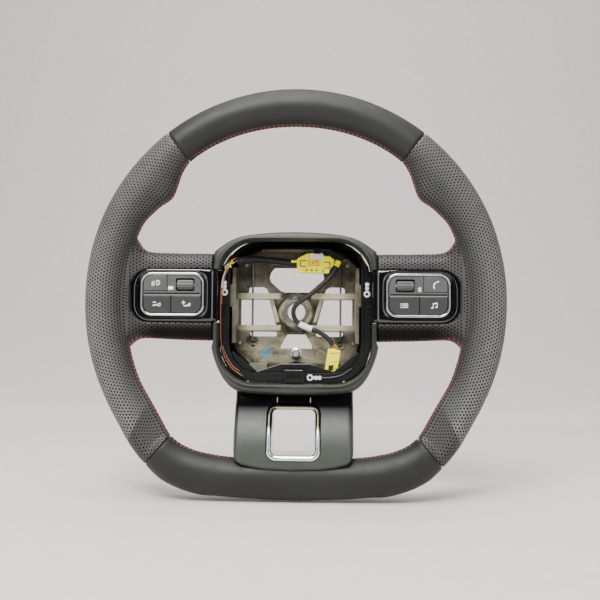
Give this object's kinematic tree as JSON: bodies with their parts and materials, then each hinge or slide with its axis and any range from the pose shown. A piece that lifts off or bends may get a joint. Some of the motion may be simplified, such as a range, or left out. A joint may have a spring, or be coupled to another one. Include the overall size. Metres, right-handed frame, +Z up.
{
  "type": "steering wheel",
  "caption": "Flat-bottomed road-car steering wheel with leather rim, side switch packs and an open airbag bay showing its cast frame and wiring.",
  "frame": {"origin": "on the column axis at the hub seat face, where the steering column meets the back of the boss", "axes": "+Z up at the straight-ahead position, -Y towards the driver, +Y along the column away from the driver, +X to the driver's right"},
  "size_m": [0.365, 0.0775, 0.3561],
  "materials": {
    "cast_alloy": "die-cast, dull",
    "steel": "plated",
    "foam": "moulded foam",
    "smooth_leather": "smooth, satin",
    "perforated_leather": "perforated, matte",
    "soft_plastic": "soft touch",
    "black_plastic": "moulded",
    "gloss_black": "piano black",
    "chrome": "satin chrome",
    "key_plastic": "fine grain",
    "rubber": "moulded",
    "board": "solder mask",
    "trim_satin": "satin paint",
    "yellow_plastic": "moulded",
    "orange_plastic": "moulded",
    "cable_black": "sleeved",
    "wire_orange": "insulated",
    "paper_white": "cloth tape"
  },
  "bodies": {
    "root": {"airbag_lead": "cable_black", "armature": "cast_alloy", "bay_bracket": "soft_plastic", "bay_shield": "black_plastic", "cable_label": "paper_white", "chrome_ring_left": "chrome", "chrome_ring_right": "chrome", "column_bush": "steel", "connector_lock": "orange_plastic", "connector_lower": "yellow_plastic", "connector_upper": "yellow_plastic", "harness_clip": "black_plastic", "harness_sleeve": "cable_black", "hub_shroud_lower": "soft_plastic", "hub_shroud_upper": "soft_plastic", "key_mat_left": "rubber", "key_mat_right": "rubber", "leather_bottom": "smooth_leather", "leather_grip_left": "perforated_leather", "leather_grip_right": "perforated_leather", "leather_top": "smooth_leather", "locating_stud": "steel", "lower_spoke_rear_cover": "black_plastic", "lower_spoke_trim": "trim_satin", "rear_cover": "black_plastic", "rear_cover_screw_1": "steel", "rear_cover_screw_2": "steel", "rear_cover_screw_3": "steel", "rear_cover_screw_4": "steel", "rim_foam": "foam", "ring_terminal_bottom": "steel", "ring_terminal_left": "steel", "ring_terminal_right": "steel", "roller_pin_left": "steel", "roller_pin_right": "steel", "spoke_window_bezel": "chrome", "switch_bezel_left": "gloss_black", "switch_bezel_right": "gloss_black", "switch_board_left": "board", "switch_board_right": "board", "switch_housing_left": "black_plastic", "switch_housing_right": "black_plastic", "switch_panel_left": "key_plastic", "switch_panel_right": "key_plastic", "wire_bottom": "cable_black", "wire_edge": "wire_orange", "wire_left": "cable_black", "wire_right": "cable_black", "wiring_carrier": "black_plastic"},
    "key_left_upper": {"key_left_upper": "key_plastic"},
    "key_left_lower_outer": {"key_left_lower_outer": "key_plastic"},
    "key_left_lower_inner": {"key_left_lower_inner": "key_plastic"},
    "roller_left": {"roller_left": "key_plastic"},
    "retaining_spring_left": {"retaining_spring_left": "steel"},
    "key_right_upper": {"key_right_upper": "key_plastic"},
    "key_right_lower_outer": {"key_right_lower_outer": "key_plastic"},
    "key_right_lower_inner": {"key_right_lower_inner": "key_plastic"},
    "roller_right": {"roller_right": "key_plastic"},
    "retaining_spring_right": {"retaining_spring_right": "steel"}
  },
  "joints": [
    {"name": "key_left_upper_press", "type": "slide", "parent": "root", "child": "key_left_upper", "axis": [0, 1, 0], "range_m": [0, 0.0012], "stiffness_N_per_m": 400},
    {"name": "key_left_lower_outer_press", "type": "slide", "parent": "root", "child": "key_left_lower_outer", "axis": [0, 1, 0], "range_m": [0, 0.0012], "stiffness_N_per_m": 400},
    {"name": "key_left_lower_inner_press", "type": "slide", "parent": "root", "child": "key_left_lower_inner", "axis": [0, 1, 0], "range_m": [0, 0.0012], "stiffness_N_per_m": 400},
    {"name": "roller_left_turn", "type": "hinge", "parent": "root", "child": "roller_left", "pos_m": [-0.0956, -0.0583, 0.0221], "axis": [1, 0, 0], "range_deg": [-12, 12], "stiffness_Nm_per_rad": 0.02},
    {"name": "retaining_spring_left_spread", "type": "slide", "parent": "root", "child": "retaining_spring_left", "axis": [-1, 0, 0], "range_m": [0, 0.0025], "stiffness_N_per_m": 500},
    {"name": "key_right_upper_press", "type": "slide", "parent": "root", "child": "key_right_upper", "axis": [0, 1, 0], "range_m": [0, 0.0012], "stiffness_N_per_m": 400},
    {"name": "key_right_lower_outer_press", "type": "slide", "parent": "root", "child": "key_right_lower_outer", "axis": [0, 1, 0], "range_m": [0, 0.0012], "stiffness_N_per_m": 400},
    {"name": "key_right_lower_inner_press", "type": "slide", "parent": "root", "child": "key_right_lower_inner", "axis": [0, 1, 0], "range_m": [0, 0.0012], "stiffness_N_per_m": 400},
    {"name": "roller_right_turn", "type": "hinge", "parent": "root", "child": "roller_right", "pos_m": [0.0956, -0.0583, 0.0221], "axis": [1, 0, 0], "range_deg": [-12, 12], "stiffness_Nm_per_rad": 0.02},
    {"name": "retaining_spring_right_spread", "type": "slide", "parent": "root", "child": "retaining_spring_right", "axis": [1, 0, 0], "range_m": [0, 0.0025], "stiffness_N_per_m": 500}
  ]
}
